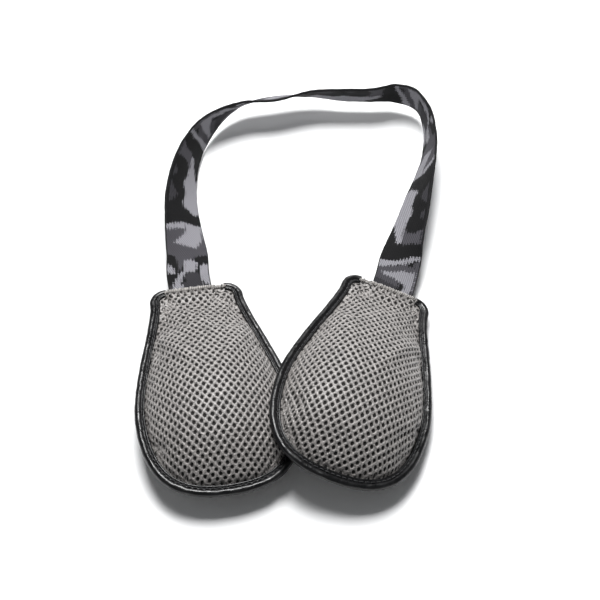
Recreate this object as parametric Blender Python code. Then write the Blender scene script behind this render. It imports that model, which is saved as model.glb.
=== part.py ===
"""A pair of stuffed mesh pouches joined by one elastic webbing strap, lying flat on a table.

Each pouch is a pear-shaped bag of spacer mesh: a domed front panel and a shallower back panel,
bound round the edge with a leather-look tape folded over a cord. Inside is a thin liner of two
sheets that holds the filling. The strap's ends are sewn between the lips of the two mouths.

Frame: +Z up, the table is z = 0, the strap's far run is towards +Y, the pouches towards -Y.
The origin is at the bottom centre of the whole object's box.
A pouch's own frame has its origin on its fold line at the mouth, -Y towards the pouch's foot,
+Z out of its front panel, and the seam in the plane z = 0.
"""
import math

import bmesh
import bpy
import numpy as np
from mathutils import Euler, Matrix, Vector

MM = 0.001

# The elastic webbing.
STRAP_WIDTH = 25 * MM
STRAP_THICKNESS = 1.6 * MM
TAIL_LENGTH = 12 * MM        # sewn into each mouth
BAG_BELOW_TAIL = 18 * MM     # from the tail's end to the liner, at least
FOLD_GAP = 1.2 * MM          # strap left out on each side of a fold or hinge line
STRETCH_GAP = 0.3 * MM
STRAP_SIDE_MARGIN = 0.5 * MM
STRAP_OFFSET = 2.5 * MM      # each end is sewn this far off the mouth's middle, away from the other pouch

# Overall sizes of one pouch, to the outside of its binding.
POUCH_LENGTH = 139 * MM
POUCH_WIDTH = 88 * MM
MOUTH_WIDTH = STRAP_WIDTH + 29 * MM
WIDEST_AT = 0.633 * POUCH_LENGTH   # from the mouth
FRONT_CROWN = 23 * MM        # the front panel's height over the seam
BACK_CROWN = 19 * MM
CROWN_AT = 0.59 * POUCH_LENGTH     # from the mouth
FRONT_FALL = 0.68            # how the height falls off at the sides: less is plumper
BACK_FALL = 1.0
MOUTH_FALL = 1.5
CORNER_RADIUS = 9.5 * MM     # where the binding turns in at the mouth
CORNER_TURN = math.radians(75)

# Cloth, tape and cord.
PANEL_THICKNESS = 2.5 * MM
SEAM_THICKNESS = 1.0 * MM    # a panel pressed flat by its seam
LINER_THICKNESS = 0.5 * MM
TAPE_THICKNESS = 0.65 * MM
CORD_DIAMETER = 2.2 * MM
FLANGE_WIDTH = 1.7 * MM      # the flat of the binding, inside its roll
CLEARANCE = 0.3 * MM         # between pieces that touch
LOOSE_FIT = 0.0095 * POUCH_LENGTH   # the slack under the panels, and again under the liner
LINER_MARGIN = 3 * MM        # the liner is this much smaller all round than the panels' dome
FILLING_MARGIN = 3.5 * MM

# Lips and the thread that closes them beside the strap.
LIP_DIAMETER = 2.4 * MM
LIP_CLOSES_IN = 2.5 * MM     # from the strap's side to where the lips meet
THREAD_DIAMETER = 0.7 * MM
STITCH_SPACING = 4 * MM

# The places below are for pouches of the drawn width, and spread out sideways with wider ones.
# They are measured from a point this far from the middle of the whole object's box.
DRAWN_WIDTH = 88 * MM
SPREAD = Vector((POUCH_WIDTH / DRAWN_WIDTH, 1, 1))
LAYOUT_CENTRE = Vector((-0.75 * MM, 1.45 * MM, 0))

# Where each pouch's fold line is, and how it lies: tilt about its own X, roll about Y, turn about Z.
POUCHES = {
    "left": ((-61.2 * MM, -14.0 * MM, 15.3 * MM), (0, 2.5, 11)),
    "right": ((52.2 * MM, -12.6 * MM, 12.8 * MM), (-4, 14, -16.4)),
}

# The strap's middle line between the mouths, with the lean of its outer edge: 0 lies flat,
# 90 stands on edge and more leans back in over the loop. Chosen by hand, mm and degrees.
LEFT_LEG = [(-65, 12, 13, 14), (-70, 33.5, 13.5, 30), (-73, 56, 14, 43), (-72.5, 77, 14.5, 57),
            (-69, 97, 15, 73)]
LEFT_HINGE = (-61, 116, 16, 91)
LEFT_CROWN = [(-49, 129, 18, 114), (-36, 137, 19.5, 132), (-19, 140.5, 20, 142)]
STRETCH_POINT = (6.5, 146, 20, 130)
RIGHT_CROWN = [(30, 145.5, 19.5, 121), (47, 145.5, 19.5, 119), (63.5, 146.5, 20, 111),
               (76, 141, 20, 105)]
RIGHT_HINGE = (82.5, 126, 18.5, 90)
RIGHT_LEG = [(83.5, 105.5, 16.5, 76), (80.5, 85.5, 15.5, 65), (75, 65.5, 15, 53), (69.5, 44, 14, 41),
             (63.5, 23, 13, 26)]
STRAIGHT = 9 * MM            # the strap leaves a mouth straight for this far
STRAP_STEP = 6 * MM
KNOT_STEPS = 12              # points of the curve from one knot to the next

# Sizes that follow from the ones above.
ROLL_RADIUS = CORD_DIAMETER / 2 + CLEARANCE + TAPE_THICKNESS
TAPE_INSIDE = ROLL_RADIUS - TAPE_THICKNESS
PANEL_INSET = 2 * ROLL_RADIUS + CLEARANCE
CROWN_INSET = 2 * ROLL_RADIUS + FLANGE_WIDTH + CLEARANCE
LINER_INSET = CROWN_INSET + LINER_MARGIN
FILLING_INSET = LINER_INSET + FILLING_MARGIN
SEAM_HALF_GAP = CLEARANCE / 2
EDGE_HEIGHT = SEAM_HALF_GAP + SEAM_THICKNESS
MOUTH_HALF_GAP = STRAP_THICKNESS / 2 + CLEARANCE
LIP_HEIGHT = MOUTH_HALF_GAP + PANEL_THICKNESS
STRAP_CLEAR = STRAP_WIDTH / 2 + STRAP_SIDE_MARGIN
STRAP_FREE = STRAP_CLEAR + LIP_CLOSES_IN
CROWN_CENTRE = np.array([0.0, -CROWN_AT])
FRONT = (FRONT_CROWN, FRONT_FALL)
BACK = (BACK_CROWN, BACK_FALL)

# How finely the outline and the panels are divided.
ARC_STEPS = 3
SHOULDER_STEPS = 8
FOOT_STEPS = 7
PANEL_RINGS = (1.0, 0.96, 0.88, 0.74, 0.56, 0.36, 0.16)
INNER_RINGS = (1.0, 0.9, 0.74, 0.54, 0.3)

COLOURS = {
    "mesh": (0.36, 0.34, 0.33), "leather": (0.02, 0.02, 0.022), "cord": (0.6, 0.6, 0.58),
    "liner": (0.75, 0.75, 0.72), "filling": (0.08, 0.08, 0.08), "webbing": (0.1, 0.1, 0.11),
    "thread": (0.05, 0.05, 0.05), "lip": (0.4, 0.38, 0.37),
}
ROUGHNESS = {"leather": 0.38, "webbing": 0.85}
DEFAULT_ROUGHNESS = 0.9


def material(name):
    """The finish of one kind of piece, made once."""
    made = bpy.data.materials.get(name) or bpy.data.materials.new(name)
    made.use_nodes = True
    shader = made.node_tree.nodes["Principled BSDF"]
    shader.inputs["Base Color"].default_value = (*COLOURS[name], 1)
    shader.inputs["Roughness"].default_value = ROUGHNESS.get(name, DEFAULT_ROUGHNESS)
    return made


def add_piece(name, points, faces, finish, parent=None, origin=(0, 0, 0)):
    """A named object from points and faces, with its faces turned outwards."""
    mesh = bpy.data.meshes.new(name)
    mesh.from_pydata([tuple(p) for p in np.asarray(points) - np.array(origin)], [], faces)
    bm = bmesh.new()
    bm.from_mesh(mesh)
    bmesh.ops.recalc_face_normals(bm, faces=bm.faces)
    bm.to_mesh(mesh)
    bm.free()
    mesh.shade_smooth()
    mesh.set_sharp_from_angle(angle=math.radians(40))
    mesh.materials.append(material(finish))
    piece = bpy.data.objects.new(name, mesh)
    piece.location = origin
    piece.parent = parent
    bpy.context.collection.objects.link(piece)
    return piece


def smooth_step(x):
    """A smooth rise from 0 to 1 as x goes from 0 to 1."""
    x = np.clip(x, 0, 1)
    return x * x * (3 - 2 * x)


def bezier(a, b, c, d, steps):
    """Points along a cubic curve, without its first."""
    t = np.linspace(0, 1, steps + 1)[1:, None]
    return (1 - t) ** 3 * a + 3 * (1 - t) ** 2 * t * b + 3 * (1 - t) * t * t * c + t ** 3 * d


def half_edge():
    """The outer edge of a pouch's right half, from the binding's end at the mouth to the foot."""
    corner = np.array([MOUTH_WIDTH / 2 - CORNER_RADIUS, -CORNER_RADIUS])
    turn = np.linspace(CORNER_TURN, 0, ARC_STEPS + 1)
    arc = corner + CORNER_RADIUS * np.stack([np.cos(turn), np.sin(turn)], 1)
    widest = np.array([POUCH_WIDTH / 2, -WIDEST_AT])
    foot = np.array([0.0, -POUCH_LENGTH])
    shoulder = bezier(arc[-1], arc[-1] - [0, 0.15 * WIDEST_AT], widest + [0, 0.28 * WIDEST_AT], widest,
                      SHOULDER_STEPS)
    below = POUCH_LENGTH - WIDEST_AT
    lower = bezier(widest, widest - [0, 0.82 * below], foot + [0.56 * widest[0], 0], foot, FOOT_STEPS)
    return np.vstack([arc, shoulder, lower])


def edge_path(inset, skip=0):
    """The pouch's edge moved inwards: right side down, round the foot and up the left side.

    skip leaves out that many points at each mouth end, for what stops below the strap's tail.
    """
    half = half_edge()
    whole = np.vstack([half, half[-2::-1] * [-1, 1]])
    along = np.gradient(whole, axis=0)
    along[0] = [math.sin(CORNER_TURN), -math.cos(CORNER_TURN)]
    along[-1] = [math.sin(CORNER_TURN), math.cos(CORNER_TURN)]
    along[len(half) - 1] = [-1, 0]
    along /= np.linalg.norm(along, axis=1)[:, None]
    inwards = np.stack([along[:, 1], -along[:, 0]], 1)
    moved = whole + inwards * inset
    return moved[skip:len(moved) - skip]


def outline(inset, strap_x, skip=0):
    """A closed outline: the edge path, then across the mouth from left to right.

    strap_x is where the strap's middle crosses the mouth.
    """
    path = edge_path(inset, skip)
    reach = abs(path[-1, 0])
    across = [strap_x + x for x in (-STRAP_FREE, -STRAP_CLEAR, 0, STRAP_CLEAR, STRAP_FREE)]
    across = [x for x in across if abs(x) < reach - MM]
    return np.vstack([path, [(x, path[-1, 1]) for x in across]])


def lip_height(x, strap_x):
    """The height of a panel's outside at its mouth edge."""
    closed = smooth_step((STRAP_FREE - np.abs(x - strap_x)) / LIP_CLOSES_IN)
    return EDGE_HEIGHT + (LIP_HEIGHT - EDGE_HEIGHT) * closed


def height(points, strap_x, crown, side_fall):
    """A panel's height over the seam at points of its own plane.

    It falls from the crown towards the edge, as a stuffed bag does: steeply at the sides and the
    foot, and in a long slope at the mouth, where the lips stand apart to hold the strap.
    """
    edge = outline(CROWN_INSET, strap_x)
    spoke = edge - CROWN_CENTRE
    bearing = np.arctan2(spoke[:, 0], -spoke[:, 1])
    order = np.argsort(bearing)
    offset = points - CROWN_CENTRE
    at = np.arctan2(offset[:, 0], -offset[:, 1])
    edge_x, edge_y, reach = (
        np.interp(at, bearing[order], values[order], period=2 * math.pi)
        for values in (edge[:, 0], edge[:, 1], np.linalg.norm(spoke, axis=1)))
    r = np.clip(np.linalg.norm(offset, axis=1) / reach, 0, 1)
    near_mouth = smooth_step((edge_y + 0.3 * POUCH_LENGTH) / (0.26 * POUCH_LENGTH))
    fall = (1 - r ** (2.2 - 0.6 * near_mouth)) ** (side_fall + (MOUTH_FALL - side_fall) * near_mouth)
    base = np.where(edge_y > edge[0, 1] - MM, lip_height(edge_x, strap_x), EDGE_HEIGHT)
    return base + (crown - base) * fall


def rings(inset, strap_x, skip, shares, with_seam):
    """Points of a panel, ring by ring to the middle: an optional seam ring, then shrinking outlines."""
    edge = outline(inset, strap_x, skip)
    found = [outline(PANEL_INSET, strap_x)] if with_seam else []
    found += [CROWN_CENTRE + (edge - CROWN_CENTRE) * share for share in shares]
    return np.vstack(found + [CROWN_CENTRE[None]]), len(edge)


def disc_faces(count, ring_count, first=0):
    """Faces of a disc made of rings of count points each, around a last middle point."""
    faces = []
    for ring in range(ring_count - 1):
        for i in range(count):
            j = (i + 1) % count
            a, b = first + ring * count, first + (ring + 1) * count
            faces.append((a + i, a + j, b + j, b + i))
    last, middle = first + (ring_count - 1) * count, first + ring_count * count
    return faces + [(last + i, last + (i + 1) % count, middle) for i in range(count)]


def rest_on_table(points, frame, floor):
    """Points of a pouch's own frame, lifted straight up to a height over the table if below it."""
    world = [frame @ Vector(p) for p in points]
    lifted = [Vector((p.x, p.y, max(p.z, floor))) for p in world]
    back = frame.inverted()
    return np.array([back @ p for p in lifted])


def two_faced(flat, count, ring_count, outside, inside, frame, floors):
    """A closed soft solid between two surfaces over the same flat points."""
    faces = disc_faces(count, ring_count)
    other = disc_faces(count, ring_count, len(flat))
    rim = [(i, (i + 1) % count, len(flat) + (i + 1) % count, len(flat) + i) for i in range(count)]
    sheets = [rest_on_table(np.column_stack([flat, z]), frame, floor)
              for z, floor in zip((outside, inside), floors)]
    return np.vstack(sheets), faces + [face[::-1] for face in other] + rim


def sheet(name, finish, side, depth, thickness, inset, strap_x, skip, shares, with_seam, empty, frame):
    """A panel or a liner: cloth of one thickness, lying depth under the pouch's outside.

    side is 1 for the front and -1 for the back.
    """
    flat, count = rings(inset, strap_x, skip, shares, with_seam)
    dome = height(flat, strap_x, *(FRONT if side > 0 else BACK))
    outside = np.maximum(dome - depth, SEAM_HALF_GAP + min(thickness, SEAM_THICKNESS))
    inside = np.maximum(outside - thickness, SEAM_HALF_GAP)
    points, faces = two_faced(flat, count, len(shares) + with_seam, side * outside, side * inside, frame,
                              (depth, depth + thickness))
    add_piece(name, points, faces, finish, empty)


def filling(name, depth, strap_x, skip, empty, frame):
    """The stuffing: one plump body inside both liners."""
    flat, count = rings(FILLING_INSET, strap_x, skip, INNER_RINGS, False)
    domes = (height(flat, strap_x, *shape) for shape in (FRONT, BACK))
    front, back = (np.maximum(dome - depth, SEAM_THICKNESS) for dome in domes)
    points, faces = two_faced(flat, count, len(INNER_RINGS), front, -back, frame, (depth, depth))
    add_piece(name, points, faces, "filling", empty)


def loft(sections):
    """Points and faces of a solid through sections of equal point count, closed at both ends."""
    count = len(sections[0])
    faces = [tuple(range(count))[::-1], tuple(range((len(sections) - 1) * count, len(sections) * count))]
    for s in range(len(sections) - 1):
        for i in range(count):
            j = (i + 1) % count
            faces.append((s * count + i, s * count + j, (s + 1) * count + j, (s + 1) * count + i))
    return np.vstack(sections), faces


def along_edge(profile):
    """Sections of a profile (inset from the outer edge, height) carried round the pouch's edge."""
    tracks = [np.column_stack([edge_path(inset), np.full(len(edge_path(inset)), z)]) for inset, z in profile]
    return [np.array([track[k] for track in tracks]) for k in range(len(tracks[0]))]


def binding_profile():
    """The tape's section: out along its front flange, round the roll and back, then inside it again."""
    turns = np.linspace(math.pi / 2, -math.pi / 2, 6)
    reach = 2 * ROLL_RADIUS + FLANGE_WIDTH

    def face(radius):
        round_cord = [(ROLL_RADIUS - radius * math.cos(t), radius * math.sin(t)) for t in turns]
        return [(reach, radius), *round_cord, (reach, -radius)]

    return face(ROLL_RADIUS) + face(TAPE_INSIDE)[::-1]


def strip_caps(faces, count, last):
    """The end faces of a folded strip, as quads from its outside to its inside."""
    half = count // 2
    quads = []
    for first in (0, last):
        for i in range(half - 1):
            quads.append((first + i, first + i + 1, first + count - 2 - i, first + count - 1 - i))
    return quads + faces[2:]


def circle(radius, count):
    """Two arrays: how far across and up each of count points round a circle is."""
    turns = np.arange(count) * 2 * math.pi / count
    return radius * np.cos(turns), radius * np.sin(turns)


def tube(line, radius, sides):
    """Sections of a round bar along a line of points."""
    line = np.array(line, float)
    along = np.gradient(line, axis=0)
    across, up = circle(radius, sides)
    found = []
    for point, ahead in zip(line, along):
        ahead = ahead / np.linalg.norm(ahead)
        side = np.cross(ahead, (0.1, 0.2, 1.0) if abs(ahead[2]) < 0.9 else (1.0, 0.1, 0.2))
        side /= np.linalg.norm(side)
        found.append(point + np.outer(across, side) + np.outer(up, np.cross(side, ahead)))
    return found


def lip_line(strap_x):
    """Where the lips run: x along the mouth, y just outside the panels' mouth edge."""
    end = edge_path(PANEL_INSET)[0]
    reach = end[0] - CLEARANCE - THREAD_DIAMETER / 2
    bends = [strap_x + x for x in (-STRAP_FREE, -STRAP_CLEAR, 0, STRAP_CLEAR, STRAP_FREE)]
    x = np.array([-reach, *(b for b in bends if abs(b) < reach - MM), reach])
    return x, end[1] + CLEARANCE + LIP_DIAMETER / 2


def stitch_places(reach, strap_x):
    """Where thread closes the lips: at even spaces between the strap's sides and the mouth's ends."""
    found = []
    for side in (-1, 1):
        start = strap_x + side * (STRAP_CLEAR + THREAD_DIAMETER)
        end = side * (reach - THREAD_DIAMETER)
        found += list(np.linspace(end, start, 1 + round(abs(end - start) / STITCH_SPACING)))
    return sorted(found)


def mouth(name, strap_x, empty):
    """The two lips of a mouth, the thread that closes them, and the strap's tail between them."""
    x, y = lip_line(strap_x)
    middle = np.maximum(lip_height(x, strap_x) - PANEL_THICKNESS / 2, SEAM_HALF_GAP + LIP_DIAMETER / 2)
    for label, side in (("front_lip", 1), ("back_lip", -1)):
        line = np.column_stack([x, np.full(len(x), y), side * middle])
        add_piece(f"{name}_{label}", *loft(tube(line, LIP_DIAMETER / 2, 8)), "lip", empty)

    around = LIP_DIAMETER / 2 + THREAD_DIAMETER / 2 + CLEARANCE
    for number, at in enumerate(stitch_places(x[-1], strap_x), 1):
        out = np.interp(at, x, middle) + around
        loop = [(at, y, out), (at, y + around, out), (at, y + around, -out), (at, y, -out)]
        add_piece(f"{name}_mouth_stitch_{number}", *loft(tube(loop, THREAD_DIAMETER / 2, 5)), "thread", empty)

    corners = np.array([(-1, -1), (1, -1), (1, 1), (-1, 1)]) * [STRAP_WIDTH / 2, STRAP_THICKNESS / 2]
    ends = [np.column_stack([strap_x + corners[:, 0], np.full(4, y), corners[:, 1]])
            for y in (-FOLD_GAP, -FOLD_GAP - TAIL_LENGTH)]
    add_piece(f"{name}_strap_tail", *loft(ends), "webbing", empty)


def pouch(name, place, turn, strap_x):
    """One pouch and everything sewn to it, in the frame of an empty on its fold line."""
    empty = bpy.data.objects.new(f"{name}_fold_line", None)
    empty.location = place
    empty.rotation_euler = turn
    bpy.context.collection.objects.link(empty)
    frame = Matrix.Translation(place) @ turn.to_matrix().to_4x4()
    bag_from = -FOLD_GAP - TAIL_LENGTH - BAG_BELOW_TAIL
    below_tail = next(k for k, p in enumerate(edge_path(0)) if p[1] < bag_from)
    under_panel = PANEL_THICKNESS + LOOSE_FIT
    for label, side in (("front", 1), ("back", -1)):
        sheet(f"{name}_{label}_panel", "mesh", side, 0, PANEL_THICKNESS, CROWN_INSET, strap_x, 0,
              PANEL_RINGS, True, empty, frame)
        sheet(f"{name}_{label}_liner", "liner", side, under_panel, LINER_THICKNESS, LINER_INSET, strap_x,
              below_tail, INNER_RINGS, False, empty, frame)
    under_liner = under_panel + LINER_THICKNESS + LOOSE_FIT
    filling(f"{name}_filling", under_liner, strap_x, below_tail, empty, frame)
    tape = along_edge(binding_profile())
    points, faces = loft(tape)
    faces = strip_caps(faces, len(tape[0]), len(points) - len(tape[0]))
    add_piece(f"{name}_edge_binding", points, faces, "leather", empty)
    out, up = circle(CORD_DIAMETER / 2, 6)
    cord = along_edge([(ROLL_RADIUS - a, b) for a, b in zip(out, up)])
    add_piece(f"{name}_piping_cord", *loft(cord), "cord", empty)
    mouth(name, strap_x, empty)
    return frame


def laid_out(place):
    """A chosen place, spread for the pouches' width and measured from the middle of the object's box."""
    return (place - LAYOUT_CENTRE) * SPREAD


def strap_knots(frames):
    """The strap's middle line as points and leans, mouth to mouth, with the places of its joints."""
    def leaving(name, lean, strap_x):
        ends = [frames[name] @ Vector((strap_x, y, 0)) for y in (FOLD_GAP, STRAIGHT)]
        return [(*end, math.radians(lean)) for end in ends]

    def chosen(points):
        return [(*laid_out(Vector((x, y, z)) * MM), math.radians(lean)) for x, y, z, lean in points]

    start = leaving("left", POUCHES["left"][1][1], -STRAP_OFFSET)
    end = leaving("right", -POUCHES["right"][1][1], STRAP_OFFSET)[::-1]
    groups = [start + chosen(LEFT_LEG), chosen([LEFT_HINGE]), chosen(LEFT_CROWN), chosen([STRETCH_POINT]),
              chosen(RIGHT_CROWN), chosen([RIGHT_HINGE]), chosen(RIGHT_LEG) + end]
    counts = np.cumsum([len(group) for group in groups])
    return np.array([knot for group in groups for knot in group]), counts[[0, 2, 4]]


def distances(line):
    """How far along a line each of its points is."""
    return np.concatenate([[0], np.cumsum(np.linalg.norm(np.diff(line[:, :3], axis=0), axis=1))])


def smooth_curve(knots, steps):
    """A smooth curve through the knots, with steps points between one and the next."""
    at = distances(knots)
    span = np.diff(at)
    slope = np.gradient(knots, at, axis=0)
    found = []
    for k, size in enumerate(span):
        t = np.linspace(0, 1, steps, endpoint=False)[:, None]
        found.append((2 * t ** 3 - 3 * t ** 2 + 1) * knots[k] + (t ** 3 - 2 * t ** 2 + t) * size * slope[k]
                     + (3 * t ** 2 - 2 * t ** 3) * knots[k + 1] + (t ** 3 - t ** 2) * size * slope[k + 1])
    return np.vstack(found + [knots[-1:]])


def webbing(curve, start, end):
    """A length of strap between two distances along its curve, as sections about STRAP_STEP apart."""
    along = distances(curve)
    at = np.linspace(start, end, max(3, round((end - start) / STRAP_STEP)))
    middle = np.column_stack([np.interp(at, along, curve[:, k]) for k in range(4)])
    ahead = np.column_stack([np.interp(at, along, v) for v in np.gradient(curve[:, :3], along, axis=0).T])
    ahead /= np.linalg.norm(ahead, axis=1)[:, None]
    level = np.column_stack([-ahead[:, 1], ahead[:, 0], np.zeros(len(at))])
    level /= np.linalg.norm(level, axis=1)[:, None]
    upright = np.cross(ahead, level)
    upright *= np.sign(upright[:, 2:])
    lean = middle[:, 3:]
    outer = np.cos(lean) * level + np.sin(lean) * upright
    face = np.cross(ahead, outer)
    across = np.array([[-1], [1], [1], [-1]]) * STRAP_WIDTH / 2
    through = np.array([[-1], [-1], [1], [1]]) * STRAP_THICKNESS / 2
    return [middle[k, :3] + across * outer[k] + through * face[k] for k in range(len(at))]


def strap(frames):
    """The webbing from mouth to mouth, in four lengths that part at the hinge and stretch lines."""
    knots, joints = strap_knots(frames)
    curve = smooth_curve(knots, KNOT_STEPS)
    along = distances(curve)
    left, middle, right = along[joints * KNOT_STEPS]
    points = curve[joints * KNOT_STEPS, :3]
    lengths = [("strap_left_leg", 0, left - FOLD_GAP, points[0]),
               ("strap_left_crown", left + FOLD_GAP, middle - STRETCH_GAP / 2, points[0]),
               ("strap_right_crown", middle + STRETCH_GAP / 2, right - FOLD_GAP, points[1]),
               ("strap_right_leg", right + FOLD_GAP, along[-1], points[2])]
    for name, start, end, origin in lengths:
        add_piece(name, *loft(webbing(curve, start, end)), "webbing", None, origin)


for old in list(bpy.data.objects):
    bpy.data.objects.remove(old)
placed = {}
for pouch_name, (mouth_place, lie) in POUCHES.items():
    turned = Euler([math.radians(angle) for angle in lie])
    sewn_at = -STRAP_OFFSET if pouch_name == "left" else STRAP_OFFSET
    placed[pouch_name] = pouch(pouch_name, laid_out(Vector(mouth_place)), turned, sewn_at)
strap(placed)
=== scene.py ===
# %% [markdown]
# # Two stuffed mesh pouches on one elastic strap
# The real object is a pair of pear-shaped pouches. Each is sewn from two panels of warm grey
# spacer mesh, stuffed, and bound round the edge with black leather-look tape. One camouflage
# elastic webbing strap joins them. This lesson dresses a imported CAD model, which is the fixed
# frame: every piece below is worked out in that frame, in millimetres, and the pouches' pieces ride on
# their pouch's body.

# %% Load the frame
import math

import bpy
import numpy as np
from mathutils import Euler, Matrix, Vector


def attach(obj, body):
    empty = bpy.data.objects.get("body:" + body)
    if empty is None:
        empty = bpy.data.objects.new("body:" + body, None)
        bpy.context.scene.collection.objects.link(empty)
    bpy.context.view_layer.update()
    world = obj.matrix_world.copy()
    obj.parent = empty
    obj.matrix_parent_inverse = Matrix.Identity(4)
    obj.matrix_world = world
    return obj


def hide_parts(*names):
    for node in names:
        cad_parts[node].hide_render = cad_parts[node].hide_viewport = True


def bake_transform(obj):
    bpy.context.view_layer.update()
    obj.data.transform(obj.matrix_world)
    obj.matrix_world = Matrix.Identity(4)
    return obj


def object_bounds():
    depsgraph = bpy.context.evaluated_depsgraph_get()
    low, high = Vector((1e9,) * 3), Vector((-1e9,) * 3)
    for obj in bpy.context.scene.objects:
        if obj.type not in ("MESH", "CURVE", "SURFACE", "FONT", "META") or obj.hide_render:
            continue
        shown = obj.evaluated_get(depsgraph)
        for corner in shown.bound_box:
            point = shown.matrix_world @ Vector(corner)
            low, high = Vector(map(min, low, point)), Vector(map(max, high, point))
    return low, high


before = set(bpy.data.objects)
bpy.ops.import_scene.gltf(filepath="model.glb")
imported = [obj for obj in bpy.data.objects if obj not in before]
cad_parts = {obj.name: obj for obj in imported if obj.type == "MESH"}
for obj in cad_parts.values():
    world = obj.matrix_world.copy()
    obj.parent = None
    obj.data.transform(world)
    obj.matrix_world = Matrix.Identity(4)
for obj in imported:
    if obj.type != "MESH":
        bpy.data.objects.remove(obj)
cad_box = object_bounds()
MM = 0.001
box_sides = [round(side / MM, 1) for side in cad_box[1] - cad_box[0]]
print("CAD nodes:", len(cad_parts), "box in mm:", box_sides)

# %% [markdown]
# ## Camera, room and lamps
# The object lies on a white table and is seen from its pouches' side, 52 degrees down. A long
# lens at about 0.7 m keeps the near and far ends close in scale. A big soft box high behind the
# strap throws soft shadows towards the viewer. A weaker one, further back and lower, picks out
# the upper edges. Point lamps would be simpler, but their shadows are hard.

# %% Camera
scene = bpy.context.scene
LOOK_AT = np.array([1.1, -22.4, 12.0])
CAMERA_DOWN = math.radians(52)
CAMERA_AWAY = 697.7
LENS = 72
camera = bpy.data.objects.new("camera", bpy.data.cameras.new("camera"))
camera.data.lens = LENS
back_and_up = np.array([0, -math.cos(CAMERA_DOWN), math.sin(CAMERA_DOWN)])
camera.location = Vector(LOOK_AT + CAMERA_AWAY * back_and_up) * MM
camera.rotation_euler = (math.pi / 2 - CAMERA_DOWN, 0, 0)
scene.collection.objects.link(camera)
scene.camera = camera
scene.view_settings.view_transform = "Standard"
print(f"camera: {LENS} mm lens, {CAMERA_AWAY} mm away")

# %% Room and lamps
# The room gives a weak fill light. Past the table's edge the camera sees it as a white wall.
ROOM_TINT = (0.96, 0.98, 1.0, 1)
FILL, WALL = 0.18, 1.0
world = bpy.data.worlds.new("studio")
world.use_nodes = True
room = world.node_tree
wall, which = room.nodes.new("ShaderNodeBackground"), room.nodes.new("ShaderNodeMixShader")
for shade, strength in ((room.nodes["Background"], FILL), (wall, WALL)):
    shade.inputs["Color"].default_value = ROOM_TINT
    shade.inputs["Strength"].default_value = strength
room.links.new(room.nodes.new("ShaderNodeLightPath").outputs["Is Camera Ray"], which.inputs[0])
room.links.new(room.nodes["Background"].outputs[0], which.inputs[1])
room.links.new(wall.outputs[0], which.inputs[2])
room.links.new(which.outputs[0], room.nodes["World Output"].inputs["Surface"])
scene.world = world


def soft_box(name, place, aim, size, power):
    """A square area light at a place in mm, turned to face another place."""
    light = bpy.data.lights.new(name, "AREA")
    light.size = size * MM
    light.energy = power
    lamp = bpy.data.objects.new(name, light)
    lamp.location = Vector(place) * MM
    lamp.rotation_euler = (Vector(aim) - Vector(place)).to_track_quat("-Z", "Y").to_euler()
    scene.collection.objects.link(lamp)


soft_box("key_light", (-60, 265, 880), (0, 0, 0), 400, 13.5)
soft_box("back_light", (150, 1000, 420), (0, 60, 0), 700, 3.5)
print("lamps:", sorted(bpy.data.lights.keys()))

# %% [markdown]
# ## Materials from small node groups
# Cloth, tape and thread all show fine grain and small changes of colour. Each material could
# have its own copy of those nodes. Instead, such an effect is a node group with named inputs,
# built once, and each material sets its own values on it, so that one change reaches them all.
# The shader itself stays in the material. The helpers here keep the node trees short to read.

# %% Node helpers
def add_node(tree, kind, **settings):
    """A node with its properties set by name."""
    node = tree.nodes.new(kind)
    for key, value in settings.items():
        setattr(node, key, value)
    return node


def put(tree, socket, value):
    """Sets a socket to a number or colour, or links another node's output to it."""
    if isinstance(value, bpy.types.NodeSocket):
        tree.links.new(value, socket)
    else:
        socket.default_value = value


def maths(tree, operation, *values):
    """The output of a maths node whose inputs are numbers or other outputs."""
    node = add_node(tree, "ShaderNodeMath", operation=operation)
    for socket, value in zip(node.inputs, values):
        put(tree, socket, value)
    return node.outputs[0]


def times_plus(tree, value, times, plus):
    """A value times one number or output, plus another."""
    return maths(tree, "ADD", maths(tree, "MULTIPLY", value, times), plus)


def remap(tree, value, start, end, low=0.0, high=1.0, smooth=True):
    """A value moved from the range start to end into the range low to high, and held there."""
    kind = "SMOOTHSTEP" if smooth else "LINEAR"
    node = add_node(tree, "ShaderNodeMapRange", interpolation_type=kind)
    for socket, given in zip(node.inputs, (value, start, end, low, high)):
        put(tree, socket, given)
    return node.outputs[0]


def shaded(tree, colour, level):
    """A colour made lighter or darker: colour times level."""
    node = add_node(tree, "ShaderNodeVectorMath", operation="SCALE")
    put(tree, node.inputs[0], colour)
    put(tree, node.inputs["Scale"], level)
    return node.outputs["Vector"]


def texture(tree, kind, **values):
    """A texture node on Object coordinates, with the other inputs set by name."""
    node = add_node(tree, kind)
    place = add_node(tree, "ShaderNodeTexCoord")
    tree.links.new(place.outputs["Object"], node.inputs["Vector"])
    for label, value in values.items():
        put(tree, node.inputs[label], value)
    return node


def new_group(name, inputs, outputs):
    """A node group with sockets from {name: (kind, default)}, and its inner in and out nodes."""
    group = bpy.data.node_groups.new(name, "ShaderNodeTree")
    for direction, sockets in (("INPUT", inputs), ("OUTPUT", outputs)):
        for label, (kind, value) in sockets.items():
            socket = group.interface.new_socket(
                label, in_out=direction, socket_type="NodeSocket" + kind)
            if value is not None:
                socket.default_value = value
    return group, group.nodes.new("NodeGroupInput"), group.nodes.new("NodeGroupOutput")


def use_group(tree, group, **values):
    """A group placed in a material, with its inputs given as numbers, colours or outputs."""
    node = add_node(tree, "ShaderNodeGroup", node_tree=group)
    for label, value in values.items():
        put(tree, node.inputs[label.replace("_", " ")], value)
    return node


def mix_colour(tree, factor, first, second):
    """The output of a colour mix: first where the factor is 0, second where it is 1."""
    node = add_node(tree, "ShaderNodeMix", data_type="RGBA")
    for number, value in ((0, factor), (6, first), (7, second)):
        put(tree, node.inputs[number], value)
    return node.outputs[2]


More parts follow.
